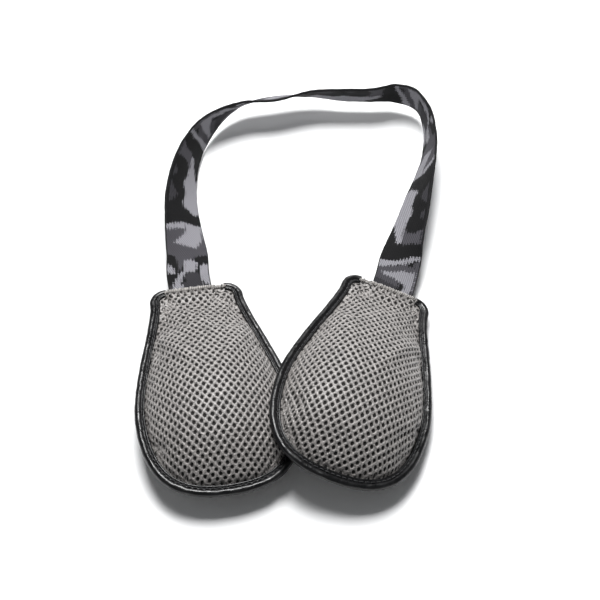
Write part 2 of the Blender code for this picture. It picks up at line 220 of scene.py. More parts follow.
def new_material(name, roughness, **constants):
    """A material with its node tree and shader; constants are set on the shader's own sockets."""
    made = bpy.data.materials.new(name)
    made.use_nodes = True
    shader = made.node_tree.nodes["Principled BSDF"]
    shader.inputs["Roughness"].default_value = roughness
    for label, value in constants.items():
        shader.inputs[label.replace("_", " ")].default_value = value
    return made, made.node_tree, shader


def bump(tree, shader, height, distance, strength=1.0):
    """Carries a height into the shader's normal. The distance is in mm."""
    node = add_node(tree, "ShaderNodeBump")
    node.inputs["Distance"].default_value = distance * MM
    node.inputs["Strength"].default_value = strength
    tree.links.new(height, node.inputs["Height"])
    tree.links.new(node.outputs["Normal"], shader.inputs["Normal"])


print("node helpers ready")

# %% Group: mottle, a slow change of colour over the surface
mottle, mottle_in, mottle_out = new_group(
    "mottle",
    {"Color": ("Color", (0.5, 0.5, 0.5, 1)), "Amount": ("Float", 0.15), "Per metre": ("Float", 60.0)},
    {"Color": ("Color", None), "Value": ("Float", None)})
cloud = texture(mottle, "ShaderNodeTexNoise", Scale=mottle_in.outputs["Per metre"], Detail=4)
offset = maths(mottle, "MULTIPLY", maths(mottle, "SUBTRACT", cloud.outputs["Fac"], 0.5), 2.0)
level = times_plus(mottle, offset, mottle_in.outputs["Amount"], 1.0)
put(mottle, mottle_out.inputs["Color"], shaded(mottle, mottle_in.outputs["Color"], level))
put(mottle, mottle_out.inputs["Value"], cloud.outputs["Fac"])
print("group:", mottle.name)

# %% Group: fibre, the fine uneven fuzz of spun thread
fibre, fibre_in, fibre_out = new_group(
    "fibre", {"Per metre": ("Float", 2500.0)}, {"Height": ("Float", None)})
fuzz = texture(fibre, "ShaderNodeTexNoise", Scale=fibre_in.outputs["Per metre"],
               Detail=3, Roughness=0.7)
put(fibre, fibre_out.inputs["Height"], fuzz.outputs["Fac"])
print("group:", fibre.name)

# %% [markdown]
# ## Spacer mesh
# The outer face of spacer mesh is a net with staggered oval holes, about 2 mm wide, in rows
# 2.7 mm apart. An image of it could be laid on, but it would blur close up. So the pattern is
# worked out from coordinates that were flat before the cloth was domed: the UV map holds them,
# in millimetres. One staggered lattice is used twice. The geometry sinks the holes, and this
# group marks them, so that the material can paint shade into them.

# %% Group: net, the staggered holes of spacer mesh
HOLE_ACROSS, ROW_GAP = 4.13, 2.66                 # gaps between holes of a row, and between rows
HOLE_HALF_WIDTH, HOLE_HALF_LENGTH = 0.94, 1.19
RIBS = 2                                          # knitted ribs across one cell of the net

net, net_in, net_out = new_group(
    "net", {"Flat": ("Vector", None), "Softness": ("Float", 0.16)},
    {"Hole": ("Float", None), "Strand": ("Float", None)})
flat_parts = add_node(net, "ShaderNodeSeparateXYZ")
net.links.new(net_in.outputs["Flat"], flat_parts.inputs[0])
reaches = []
for shift in (0.0, 0.5):
    squares = []
    for axis, cell, half in ((0, HOLE_ACROSS, HOLE_HALF_WIDTH), (1, 2 * ROW_GAP, HOLE_HALF_LENGTH)):
        counted = maths(net, "ADD", maths(net, "DIVIDE", flat_parts.outputs[axis], cell), shift)
        inside = maths(net, "SUBTRACT", maths(net, "FRACT", counted), 0.5)
        reach = maths(net, "ABSOLUTE", maths(net, "MULTIPLY", inside, cell / half))
        squares.append(maths(net, "POWER", reach, 2.0))
    reaches.append(maths(net, "SQRT", maths(net, "ADD", *squares)))
softness = net_in.outputs["Softness"]
put(net, net_out.inputs["Hole"], remap(
    net, maths(net, "MINIMUM", *reaches),
    maths(net, "ADD", softness, 1.0), maths(net, "SUBTRACT", 1.0, softness)))
# Knitted loops run both ways between the holes, as two crossing sets of slanting ribs.
ribs = []
for slant in (1, -1):
    turns = maths(net, "ADD", maths(net, "DIVIDE", flat_parts.outputs[0], HOLE_ACROSS),
                  maths(net, "DIVIDE", flat_parts.outputs[1], 2 * ROW_GAP * slant))
    ribs.append(maths(net, "COSINE", maths(net, "MULTIPLY", turns, 2 * math.pi * RIBS)))
put(net, net_out.inputs["Strand"], maths(net, "ADD", *ribs))
print("group:", net.name, "with", len(net.nodes), "nodes")

# %% Material: mesh
MESH_LIGHT = (0.203, 0.190, 0.182, 1)
# The holes' colour is painted shade: near black, for the shade down in the pits.
MESH_HOLE_SHADE = (0.013, 0.0115, 0.011, 1)
# The fuzz's tone is partly the yarn's own uneven tone and partly painted highlight: lighter where the
# fuzz, which is also the bump, stands higher.
GRAIN_RANGE, GRAIN_AND_HIGHLIGHT_LEVELS = (0.41, 0.60), (0.45, 1.75)     # of the fuzz, and the tone it gives
# The ribs' colour is painted light: lighter on their tops and darker between them, in step with their
# bump.
RIB_PAINTED_LIGHT, RIB_HEIGHT = 0.05, 0.1
STRAND_ROUGHNESS, HOLE_ROUGHER, STRAND_SHINE = 0.55, 0.4, 0.6
mesh_cloth, tree, shader = new_material(
    "mesh", STRAND_ROUGHNESS, Specular_IOR_Level=0.6, Coat_Roughness=0.42)
flat_uv = add_node(tree, "ShaderNodeUVMap", uv_map="flat")
holes = use_group(tree, net, Flat=flat_uv.outputs["UV"])
strand_colour = use_group(tree, mottle, Color=MESH_LIGHT, Amount=0.14, Per_metre=90.0)
fuzzy = use_group(tree, fibre, Per_metre=1000.0)
# Partly uneven yarn tone, partly painted highlight on the higher fuzz.
speckle_and_highlight = remap(tree, fuzzy.outputs["Height"], *GRAIN_RANGE, *GRAIN_AND_HIGHLIGHT_LEVELS, smooth=False)
# Painted light on the knitted ribs: their colour follows their bump height.
ribs_painted_light = times_plus(tree, holes.outputs["Strand"], RIB_PAINTED_LIGHT, 1.0)
speckled_and_highlit = shaded(tree, strand_colour.outputs["Color"], maths(tree, "MULTIPLY", speckle_and_highlight, ribs_painted_light))
hole = holes.outputs["Hole"]
# Inside the holes the colour is painted shade, near black.
put(tree, shader.inputs["Base Color"], mix_colour(tree, hole, speckled_and_highlit, MESH_HOLE_SHADE))
knit = times_plus(tree, holes.outputs["Strand"], RIB_HEIGHT, fuzzy.outputs["Height"])
bump(tree, shader, knit, 0.3, 0.9)
# The strands shine; the shaded layer under the holes doesn't.
put(tree, shader.inputs["Roughness"], times_plus(tree, hole, HOLE_ROUGHER, STRAND_ROUGHNESS))
strand = maths(tree, "SUBTRACT", 1.0, hole)
put(tree, shader.inputs["Coat Weight"], maths(tree, "MULTIPLY", strand, STRAND_SHINE))
print("material:", mesh_cloth.name)

# %% Material: lip, the same yarn without its holes
lip_cloth, tree, shader = new_material("lip", 0.85, Sheen_Weight=0.3)
yarn_colour = use_group(tree, mottle, Color=(0.20, 0.188, 0.18, 1), Amount=0.8, Per_metre=700.0)
put(tree, shader.inputs["Base Color"], yarn_colour.outputs["Color"])
bump(tree, shader, use_group(tree, fibre, Per_metre=1800.0).outputs["Height"], 0.3)
print("material:", lip_cloth.name)

# %% [markdown]
# ## Leather-look tape
# The binding is coated cloth: black, with a soft sheen that breaks up over a fine pebble grain
# and over small creases. Grain this fine would need far too many points in a mesh, so it is
# bump. The larger creases are made in the mesh later, because they change the tape's outline.

# %% Material: leather-look tape
LEATHER_BLACK = (0.0035, 0.0035, 0.004, 1)
POLISHED, DULL = 0.16, 0.42       # the tape's roughness where it is rubbed and where it isn't
PEBBLE_HEIGHT = 0.12              # beside the creases' 1
leather, tree, shader = new_material("leather", 0.3, Specular_IOR_Level=0.4)
pebbles = texture(tree, "ShaderNodeTexVoronoi", Scale=1500)
pebbles.feature = "SMOOTH_F1"
creases = texture(tree, "ShaderNodeTexNoise", Scale=240, Detail=3)
worn = use_group(tree, mottle, Color=LEATHER_BLACK, Amount=0.5, Per_metre=160.0)
put(tree, shader.inputs["Base Color"], worn.outputs["Color"])
gloss = remap(tree, worn.outputs["Value"], 0.3, 0.7, POLISHED, DULL, smooth=False)
put(tree, shader.inputs["Roughness"], gloss)
grain = times_plus(tree, pebbles.outputs["Distance"], PEBBLE_HEIGHT, creases.outputs["Fac"])
bump(tree, shader, grain, 0.35, 0.55)
print("material:", leather.name)

# %% [markdown]
# ## Plain yarns and cloths
# The sewing thread, the overlock thread, the cord, the inner bag and the filling are each one
# colour of fuzzy yarn. They differ only in tone, grain and roughness, so one function makes
# them all.

# %% Materials of plain yarn and cloth
def yarn_material(name, colour, amount, per_metre, roughness):
    """A fuzzy one-colour yarn or cloth with a mottled tone."""
    made, tree, shader = new_material(name, roughness, Sheen_Weight=0.15)
    tone = use_group(tree, mottle, Color=(*colour, 1), Amount=amount, Per_metre=per_metre)
    put(tree, shader.inputs["Base Color"], tone.outputs["Color"])
    bump(tree, shader, use_group(tree, fibre, Per_metre=per_metre * 4).outputs["Height"], 0.3)
    return made


thread = yarn_material("thread", (0.02, 0.02, 0.022), 0.4, 800.0, 0.55)
light_thread = yarn_material("light_thread", (0.47, 0.45, 0.43), 0.6, 800.0, 0.75)
cord_cotton = yarn_material("cord", (0.6, 0.6, 0.58), 0.15, 500.0, 0.9)
liner_cloth = yarn_material("liner", (0.75, 0.75, 0.72), 0.1, 300.0, 0.9)
stuffing = yarn_material("filling", (0.08, 0.08, 0.08), 0.6, 900.0, 0.95)
print("materials:", sorted(m.name for m in bpy.data.materials))

# %% [markdown]
# ## Surfaces from grids
# The pieces could be modelled by hand, but a formula is easier to change and gives the same
# result each time. So every new piece is a grid of points, rows by columns, worked out as whole
# arrays. The helpers below turn such a grid, closed into a tube if it should be, into a mesh with
# its UV map and attributes, and carry a profile along a path.

# %% Grid helpers
def grid_faces(rows, columns, round_columns=False):
    """Quads over a grid of numbered points. Round columns join the last one to the first."""
    number = np.arange(rows * columns).reshape(rows, columns)
    if round_columns:
        number = np.hstack([number, number[:, :1]])
    corners = (number[:-1, :-1], number[:-1, 1:], number[1:, 1:], number[1:, :-1])
    return np.stack(corners, -1).reshape(-1, 4)


def end_caps(rows, columns):
    """Two many-sided faces that close the ends of a tube of rows rings."""
    first = np.arange(columns)
    return [first[::-1].tolist(), (first + (rows - 1) * columns).tolist()]


SHARP_EDGE = math.radians(60)


def new_piece(name, points, faces, material, flat=None, values=None):
    """A smooth mesh object from points in mm. flat is one pair of UV numbers for each point."""
    mesh = bpy.data.meshes.new(name)
    whole_faces = [list(map(int, face)) for face in faces]
    mesh.from_pydata((np.asarray(points) * MM).tolist(), [], whole_faces)
    if flat is not None:
        corner = np.zeros(len(mesh.loops), np.int32)
        mesh.loops.foreach_get("vertex_index", corner)
        layer = mesh.uv_layers.new(name="flat")
        layer.data.foreach_set("uv", np.asarray(flat, np.float32)[corner].ravel())
    for label, value in (values or {}).items():
        attribute = mesh.attributes.new(label, "FLOAT", "POINT")
        attribute.data.foreach_set("value", value.astype(np.float32))
    mesh.materials.append(material)
    mesh.shade_smooth()
    mesh.set_sharp_from_angle(angle=SHARP_EDGE)
    piece = bpy.data.objects.new(name, mesh)
    scene.collection.objects.link(piece)
    return piece


def unit(vectors):
    """Each vector divided by its own length."""
    return vectors / np.linalg.norm(vectors, axis=-1, keepdims=True)


def tube(line, radius, sides):
    """A round bar along a line: at each point, a ring of the given radius square to the line."""
    ahead = unit(np.gradient(line, axis=0))
    guide = np.where(np.abs(ahead[:, 2:]) < 0.9, [[0.1, 0.2, 1.0]], [[1.0, 0.1, 0.2]])
    side = unit(np.cross(ahead, guide))
    up = np.cross(side, ahead)
    turn = np.linspace(0, 2 * np.pi, sides, endpoint=False)[:, None]
    ring = np.cos(turn) * side[:, None, :] + np.sin(turn) * up[:, None, :]
    return line[:, None, :] + np.reshape(radius, (-1, 1, 1)) * ring


def add_tubes(name, lines, radius, sides, material):
    """One object of many closed bars of equal make, each along its own line."""
    points, faces, first = [], [], 0
    for line in lines:
        rings = tube(line, radius, sides)
        count = rings.shape[0]
        flat_faces = grid_faces(count, sides, round_columns=True).tolist() + end_caps(count, sides)
        faces += [[number + first for number in face] for face in flat_faces]
        points.append(rings.reshape(-1, 3))
        first += count * sides
    return new_piece(name, np.vstack(points), faces, material)


def smooth_step(x):
    """A smooth rise from 0 to 1 as x goes from 0 to 1."""
    x = np.clip(x, 0, 1)
    return x * x * (3 - 2 * x)


LATTICE = (97, 89)                # columns and rows of random numbers before they repeat


def bumps(a, b, seed):
    """Smooth random heights from -1 to 1: a lattice of random numbers, blended between corners."""
    table = np.random.default_rng(seed).uniform(-1, 1, LATTICE)
    column, row = np.floor(a).astype(int), np.floor(b).astype(int)
    across, along = smooth_step(a - column), smooth_step(b - row)

    def on_row(step):
        left, right = (table[(column + k) % LATTICE[0], (row + step) % LATTICE[1]] for k in (0, 1))
        return left * (1 - across) + right * across

    return on_row(0) * (1 - along) + on_row(1) * along


def distances(line):
    """How far along a line each of its points is."""
    return np.concatenate([[0], np.cumsum(np.linalg.norm(np.diff(line, axis=0), axis=1))])


print("a 3 by 4 grid has", len(grid_faces(3, 4)), "faces")

# %% [markdown]
# ## The pouch's outline and dome
# A pouch is a flattened pear: 139 mm long and 88 mm wide, with a mouth 54 mm across. Its
# outline is one arc and two cubic curves on each side. Each panel is a height over that
# outline, from a crown near the foot down to the seam, with a long slope to the mouth. A ball
# could be squeezed into that shape, but a formula meets the seam and the mouth exactly. The
# sizes are the CAD's own, so the cloth lands on the CAD's surface. Only the slope to the mouth
# is up to 2 mm fuller than the CAD's.

# %% Sizes of the pouch, in mm
LENGTH, WIDTH, MOUTH = 139.0, 88.0, 54.0
WIDEST_AT, CROWN_AT = 0.633 * LENGTH, 0.59 * LENGTH
CORNER_RADIUS, CORNER_TURN = 9.5, math.radians(75)
TUCKED_TURN = math.radians(99)    # the tape's ends turn on, over the hems
ROLL = 2.05                       # radius of the binding's roll over its cord
FLANGE = 1.7
PANEL_INSET = 2 * ROLL + 0.3
DOME_INSET = 2 * ROLL + FLANGE + 0.3
EDGE_HEIGHT = 1.15
PANEL_THICKNESS = 2.5
STRAP_WIDTH, STRAP_THICKNESS = 25.0, 1.6
LIP_HEIGHT = STRAP_THICKNESS / 2 + 0.3 + PANEL_THICKNESS
STRAP_CLEAR = STRAP_WIDTH / 2 + 0.5
STRAP_FREE = STRAP_CLEAR + 2.5
LIP_RADIUS = 1.2
CROWN_CENTRE = np.array([0.0, -CROWN_AT])
FRONT, BACK = (23.0, 0.68), (19.0, 1.0)           # each panel's crown height and fall to the sides
SLOPE_FALL = 1.2                  # its fall to the mouth
LAYOUT_CENTRE = np.array([-0.75, 1.45, 0.0])
# Each pouch's place in mm, its turns in degrees, and where the strap crosses its mouth.
POUCHES = {
    "left": ((-61.2, -14.0, 15.3), (0, 2.5, 11), -2.5),
    "right": ((52.2, -12.6, 12.8), (-4, 14, -16.4), 2.5),
}
frames = {}
for name, (place, turn, strap_x) in POUCHES.items():
    turned = Euler([math.radians(angle) for angle in turn]).to_matrix()
    frames[name] = (np.array(turned), np.array(place) - LAYOUT_CENTRE)
print(f"pouch: {LENGTH:.0f} by {WIDTH:.0f} mm, mouth {MOUTH:.0f} mm")


def to_row(name, points):
    """Points of a pouch's own frame, placed in the shared frame, in mm."""
    turned, place = frames[name]
    return points @ turned.T + place


# %% The outline
def bezier(a, b, c, d, steps):
    """Points along a cubic curve, without its first."""
    t = np.linspace(0, 1, steps + 1)[1:, None]
    return (1 - t) ** 3 * a + 3 * (1 - t) ** 2 * t * b + 3 * (1 - t) * t * t * c + t ** 3 * d


EDGE_STEPS = 900


def edge_path(inset, steps=EDGE_STEPS, first_turn=CORNER_TURN):
    """The pouch's edge, moved inwards: down its right side, round the foot and up its left side."""
    corner = np.array([MOUTH / 2 - CORNER_RADIUS, -CORNER_RADIUS])
    turn = np.linspace(first_turn, 0, 40)
    arc = corner + CORNER_RADIUS * np.stack([np.cos(turn), np.sin(turn)], 1)
    widest, foot = np.array([WIDTH / 2, -WIDEST_AT]), np.array([0.0, -LENGTH])
    below = LENGTH - WIDEST_AT
    shoulder = bezier(arc[-1], arc[-1] - [0, 0.15 * WIDEST_AT],
                      widest + [0, 0.28 * WIDEST_AT], widest, 120)
    lower = bezier(widest, widest - [0, 0.82 * below], foot + [0.56 * widest[0], 0], foot, 120)
    half = np.vstack([arc, shoulder, lower])
    whole = np.vstack([half, half[-2::-1] * [-1, 1]])
    at = distances(whole)
    even = np.linspace(0, at[-1], steps + 1)
    whole = np.column_stack([np.interp(even, at, whole[:, 0]), np.interp(even, at, whole[:, 1])])
    along = unit(np.gradient(whole, axis=0))
    along[0] = [math.sin(first_turn), -math.cos(first_turn)]
    along[-1] = [math.sin(first_turn), math.cos(first_turn)]
    return whole + np.stack([along[:, 1], -along[:, 0]], 1) * inset


print(f"edge: {distances(edge_path(0))[-1]:.1f} mm from one side of the mouth to the other")


# %% The height over the outline
def lip_height(x, strap_x, softer=0.0):
    """A panel's height at its mouth: open at the strap, and closed a few mm beside it."""
    closed = smooth_step((STRAP_FREE + softer / 3 - np.abs(x - strap_x)) / (2.5 + softer))
    return EDGE_HEIGHT + (LIP_HEIGHT - EDGE_HEIGHT) * closed


def dome(points, strap_x, crown, side_fall):
    """A panel's height: crown times (1 - r^2.2)^fall, r being the share of the way to the edge."""
    path = edge_path(DOME_INSET, 240)
    across = np.linspace(path[-1, 0], path[0, 0], 42)[1:-1]
    edge = np.vstack([path, np.column_stack([across, np.full(len(across), path[0, 1])])])
    spoke = edge - CROWN_CENTRE
    bearing = np.arctan2(spoke[:, 0], -spoke[:, 1])
    order = np.argsort(bearing)
    offset = points - CROWN_CENTRE
    at = np.arctan2(offset[:, 0], -offset[:, 1])
    edge_x, edge_y, reach = (
        np.interp(at, bearing[order], values[order], period=2 * math.pi)
        for values in (edge[:, 0], edge[:, 1], np.linalg.norm(spoke, axis=1)))
    r = np.clip(np.linalg.norm(offset, axis=1) / reach, 0, 1)
    # Towards the mouth the power drops from 2.2 to 1.6 and the fall changes to the slope's own.
    near_mouth = smooth_step((edge_y + 0.3 * LENGTH) / (0.26 * LENGTH))
    fall = (1 - r ** (2.2 - 0.6 * near_mouth)) ** (side_fall + (SLOPE_FALL - side_fall) * near_mouth)
    # The base rises from the seam to the lip, more gently the further inwards it is.
    inwards = 1 - r
    lip = lip_height(edge_x, strap_x, np.clip(inwards * 60, 0, 14))
    at_lip = smooth_step((edge_y - path[0, 1] + 8 * inwards + 1) / (0.5 + 24 * inwards))
    base = EDGE_HEIGHT + (lip - EDGE_HEIGHT) * at_lip
    return base + (crown - base) * fall


print(f"crown: {dome(CROWN_CENTRE[None], 0.0, *FRONT)[0]:.1f} mm over the seam")


# %% [markdown]
# ## The panels: stuffed, then pitted
# A stuffed panel is cloth held at its seam and pushed out from inside, so it is made that way.
# A coarse grid over the dome is pinned along its edge and settled by the cloth simulation
# under pressure. The movement is kept small, so that the panel stays in its CAD solid's space
# and clear of the other pouch. It is then carried over to a fine grid by smooth interpolation,
# because a net with 2 mm holes needs points about 0.45 mm apart. Last, the holes are sunk.

# %% The grid over a panel
LAST_ROW = 0.35                   # how far before the foot's middle the last row lies
GATHERED = 1.25                   # how much closer together the columns are at the sides


def panel_grid(rows, columns):
    """Flat places over a panel: each row runs from edge to edge, at even steps of the edge."""
    path = edge_path(PANEL_INSET)[:EDGE_STEPS // 2 + 1]
    at = distances(path)
    down = np.linspace(0, at[-1] - LAST_ROW, rows)
    x, y = np.interp(down, at, path[:, 0]), np.interp(down, at, path[:, 1])
    share = np.sin(np.linspace(-1, 1, columns) * GATHERED) / math.sin(GATHERED)
    return np.stack([x[:, None] * share, np.broadcast_to(y[:, None], (rows, columns))], -1)


def carry(fine, coarse):
    """Weights from coarse to fine samples of the same line, by Catmull-Rom cubics."""
    at = np.linspace(0, coarse - 1, fine)
    cell = np.minimum(at.astype(int), coarse - 2)
    t = at - cell
    weights = np.zeros((fine, coarse))
    shares = (-t ** 3 + 2 * t ** 2 - t, 3 * t ** 3 - 5 * t ** 2 + 2,
              -3 * t ** 3 + 4 * t ** 2 + t, t ** 3 - t ** 2)
    for step, part in enumerate(shares, -1):
        np.add.at(weights, (np.arange(fine), np.clip(cell + step, 0, coarse - 1)), part / 2)
    return weights


print("weights from 4 samples to 7:", carry(7, 4).shape)


# %% The cloth simulation
CLOTH_FRAMES = 20
COARSE_ROWS, COARSE_COLUMNS = 46, 31
SETTLE_FROM = 0.97                # the cloth starts at this share of its height
MOST_IN, MOST_OUT = 0.9, 0.12     # how far the settled cloth may leave the dome, in mm
print(f"cloth: {COARSE_ROWS} by {COARSE_COLUMNS} points, {CLOTH_FRAMES} frames")


def settle(points, faces, seam):
    """Cloth held along its seam and pushed out from inside. Returns its points after it settles."""
    mesh = bpy.data.meshes.new("settling")
    mesh.from_pydata((points * MM).tolist(), [], faces.tolist())
    cloth = bpy.data.objects.new("settling", mesh)
    scene.collection.objects.link(cloth)
    cloth.vertex_groups.new(name="seam").add(seam.tolist(), 1.0, "REPLACE")
    modifier = cloth.modifiers.new("Cloth", "CLOTH")
    cloth_settings = modifier.settings
    cloth_settings.quality = 8
    cloth_settings.mass = 0.02
    cloth_settings.tension_stiffness = 12
    cloth_settings.compression_stiffness = 12
    cloth_settings.shear_stiffness = 6
    cloth_settings.bending_stiffness = 0.4
    cloth_settings.shrink_min = -0.035
    cloth_settings.vertex_group_mass = "seam"
    cloth_settings.use_pressure = True
    cloth_settings.uniform_pressure_force = 4
    cloth_settings.effector_weights.gravity = 0
    modifier.point_cache.frame_start = 1
    modifier.point_cache.frame_end = CLOTH_FRAMES
    for number in range(1, CLOTH_FRAMES + 1):
        scene.frame_set(number)
    settled = cloth.evaluated_get(bpy.context.evaluated_depsgraph_get()).to_mesh()
    found = np.zeros(len(points) * 3, np.float32)
    settled.vertices.foreach_get("co", found)
    bpy.data.objects.remove(cloth)
    scene.frame_set(1)
    return found.reshape(-1, 3) / MM


def rim_numbers(rows, columns):
    """The numbers of a grid's edge points, once round."""
    number = np.arange(rows * columns).reshape(rows, columns)
    return np.concatenate([number[0], number[1:, -1], number[-1, -2::-1], number[-2:0:-1, 0]])


def stuffed_change(name, side, shape, strap_x):
    """How the pressure moves a panel's points, on the coarse grid, inside small limits."""
    flat = panel_grid(COARSE_ROWS, COARSE_COLUMNS).reshape(-1, 2)
    high = dome(flat, strap_x, *shape)
    start = np.column_stack([flat, side * high])
    faces = grid_faces(COARSE_ROWS, COARSE_COLUMNS)
    if side > 0:
        faces = faces[:, ::-1]
    lower = start * [1, 1, SETTLE_FROM]
    change = settle(lower, faces, rim_numbers(COARSE_ROWS, COARSE_COLUMNS)) - lower
    print(f"{name}: cloth moved up to {np.abs(change).max():.2f} mm")
    change[:, 2] -= np.median(change[:, 2])
    size = np.linalg.norm(change, axis=1, keepdims=True)
    change *= np.minimum(1, MOST_IN / np.maximum(size, 1e-6))
    change[:, 2] = side * np.clip(side * change[:, 2], -MOST_IN, MOST_OUT)
    return change.reshape(COARSE_ROWS, COARSE_COLUMNS, 3)


# %% Holes, cloth coordinates and normals
HOLE_DEPTH = 1.15
HOLE_RIM, HOLE_WALL = 1.35, 0.9   # in hole radii: where the cloth starts to sink, and over how far
PANEL_GRIDS = {1: (300, 236), -1: (270, 206)}      # rows and columns, front and back
print(f"holes: {2 * HOLE_HALF_WIDTH:.1f} by {2 * HOLE_HALF_LENGTH:.1f} mm, {HOLE_DEPTH} mm deep")


def hole_share(flat):
    """How deep in a hole each point is, 0 to 1: the nearest centre of a staggered lattice."""
    shares = np.zeros(len(flat))
    for shift in (0.0, 0.5):
        cell = flat / [HOLE_ACROSS, 2 * ROW_GAP] + shift
        inside = cell - np.floor(cell) - 0.5
        inside = inside * [HOLE_ACROSS / HOLE_HALF_WIDTH, 2 * ROW_GAP / HOLE_HALF_LENGTH]
        reach = np.linalg.norm(inside, axis=1)
        shares = np.maximum(shares, smooth_step((HOLE_RIM - reach) / HOLE_WALL))
    return shares


def flat_places(points, rows, columns):
    """Cloth coordinates in mm: the distance across from the middle line and down from the mouth."""
    grid = points.reshape(rows, columns, 3)
    gaps = np.linalg.norm(np.diff(grid, axis=1), axis=2)
    across = np.cumsum(np.pad(gaps, ((0, 0), (1, 0))), axis=1)
    middle = columns // 2
    across -= (across[:, middle - 1:middle] + across[:, middle:middle + 1]) / 2
    line = grid[:, middle]
    along = np.interp(grid[..., 1], line[::-1, 1], distances(line)[::-1])
    return np.stack([across, -along], -1).reshape(-1, 2)


def normals_of(points, rows, columns, side):
    """Unit normals of a grid surface, pointing out on the given side of the pouch."""
    grid = points.reshape(rows, columns, 3)
    down, over = np.gradient(grid, axis=0), np.gradient(grid, axis=1)
    normal = np.cross(over, -down)
    return (side * unit(normal + [0, 0, 1e-9])).reshape(-1, 3)


# %% The finished panels
PUCKER_SIZE, PUCKER_HEIGHT = 5.5, 0.22             # small puckers along the seam
SLACK_SIZE, SLACK_HEIGHT = 26, 0.35                # slow hollows where the filling is loose
THINNEST = 0.55                   # how near the seam's plane a panel may come
LINING_RINGS = (0.985, 0.85, 0.6, 0.3, 0.05)       # shares of the way from the crown to the rim


def panel(pouch, label, side, shape, strap_x):
    """A domed, settled and pitted panel, closed inside by a plain lining of the same rim."""
    rows, columns = PANEL_GRIDS[side]
    flat = panel_grid(rows, columns).reshape(-1, 2)
    high = dome(flat, strap_x, *shape)
    points = np.column_stack([flat, side * high])
    change = stuffed_change(f"{pouch}_{label}", side, shape, strap_x)
    over, down = carry(columns, COARSE_COLUMNS), carry(rows, COARSE_ROWS)
    fine = np.einsum("rk,kjc->rjc", down, change)
    points = points + np.einsum("cj,rjx->rcx", over, fine).reshape(-1, 3)
    rim = rim_numbers(rows, columns)
    normal = normals_of(points, rows, columns, side)
    cloth = flat_places(points, rows, columns)
    to_edge = np.clip((high - EDGE_HEIGHT) / 6, 0, 1)
    seed = 11 if pouch == "left" else 29
    pucker = bumps(*cloth.T / PUCKER_SIZE, seed + side) * PUCKER_HEIGHT * (1 - to_edge)
    slack = bumps(*cloth.T / SLACK_SIZE, seed + 5 * side) * SLACK_HEIGHT - SLACK_HEIGHT
    sunk = hole_share(cloth) * HOLE_DEPTH
    off_seam = smooth_step((high - EDGE_HEIGHT) / 1.5)
    points = points + normal * ((pucker + slack - sunk) * off_seam)[:, None]
    points[:, 2] = side * np.maximum(side * points[:, 2], THINNEST)

    outer = len(points)
    rings, ring_flat = [], []
    for share in LINING_RINGS:
        ring = CROWN_CENTRE + (flat[rim] - CROWN_CENTRE) * share
        depth = np.maximum(dome(ring, strap_x, *shape) - PANEL_THICKNESS, 0.2)
        rings.append(np.column_stack([ring, side * depth]))
        ring_flat.append(ring)
    inner = outer + np.arange(len(rings) * len(rim)).reshape(len(rings), len(rim))
    loops = np.vstack([rim, inner])
    loops = np.hstack([loops, loops[:, :1]])
    wall = np.stack([loops[:-1, :-1], loops[:-1, 1:], loops[1:, 1:], loops[1:, :-1]], -1)
    wall = wall.reshape(-1, 4)
    faces = grid_faces(rows, columns)
    cap = inner[-1]
    if side > 0:
        faces = faces[:, ::-1]
    else:
        wall, cap = wall[:, ::-1], cap[::-1]
    points = to_row(pouch, np.vstack([points, *rings]))
    floor = np.where(np.arange(len(points)) < outer, 0.0, PANEL_THICKNESS)
    points[:, 2] = np.maximum(points[:, 2], floor)
    faces = faces.tolist() + wall.tolist() + [cap.tolist()]
    piece = new_piece(f"{pouch}_{label}_mesh_cloth", points, faces, mesh_cloth,
                      np.vstack([cloth, *ring_flat]))
    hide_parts(f"{pouch}_{label}_panel")
    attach(piece, f"{pouch}_pouch")
    print(piece.name, len(faces), "faces")


for pouch, (_, _, strap_x) in POUCHES.items():
    panel(pouch, "front", 1, FRONT, strap_x)
    panel(pouch, "back", -1, BACK, strap_x)

# %% [markdown]
# ## The binding
# Tape is folded round a cord and sewn down, so from either side it shows a round roll, a
# groove with the stitches in it, and a narrow flange lying on the mesh. A bevelled curve could
# only give it a round section. So one closed section, with all three parts, is carried round
# the pouch's edge. The leather-look skin creases where it turns, so the roll's radius varies a
# little along it. Both ends are rounded off where they are cut and tucked.

# %% The binding's section
TAPE_EDGE = 5.85                  # inset of the tape's cut edges
GROOVE_INSET, GROOVE_HEIGHT = 4.0, 1.26
CORD_HOLE = 1.4                   # radius of the hollow round the cord


def binding_section():
    """Inset and height round the tape: flange, groove, roll, groove, flange, then inside."""
    bulge = np.linspace(0, math.pi, 9)[:-1]
    flange = np.column_stack([TAPE_EDGE - FLANGE * bulge / math.pi,
                              1.28 + 0.85 * np.sin(bulge) ** 0.7])
    turn = np.radians(np.linspace(142, -142, 29))
    roll = np.column_stack([ROLL - ROLL * np.cos(turn), ROLL * np.sin(turn)])
    groove = np.array([[GROOVE_INSET, GROOVE_HEIGHT]])
    outside = np.vstack([flange, groove, roll, groove * [1, -1], flange[::-1] * [1, -1]])
    turn = np.radians(np.linspace(-125, 125, 15))
    hollow = np.column_stack([ROLL - CORD_HOLE * np.cos(turn), CORD_HOLE * np.sin(turn)])
    return np.vstack([outside, [[5.6, -1.2], [4.3, -1.19]], hollow, [[4.3, 1.19], [5.6, 1.2]]])


section = binding_section()
print("binding section:", len(section), "points")

# %% The binding's sweep
BINDING_STEPS = 560
SECTION_MIDDLE = 2.6              # the inset that the tape's ends close on
END_ROUNDING = 1.2


def edge_frame(steps):
    """Points of the outer edge and their inward directions, in the plane of the seam."""
    outer = edge_path(0, steps, TUCKED_TURN)
    return outer, unit(edge_path(1, steps, TUCKED_TURN) - outer)


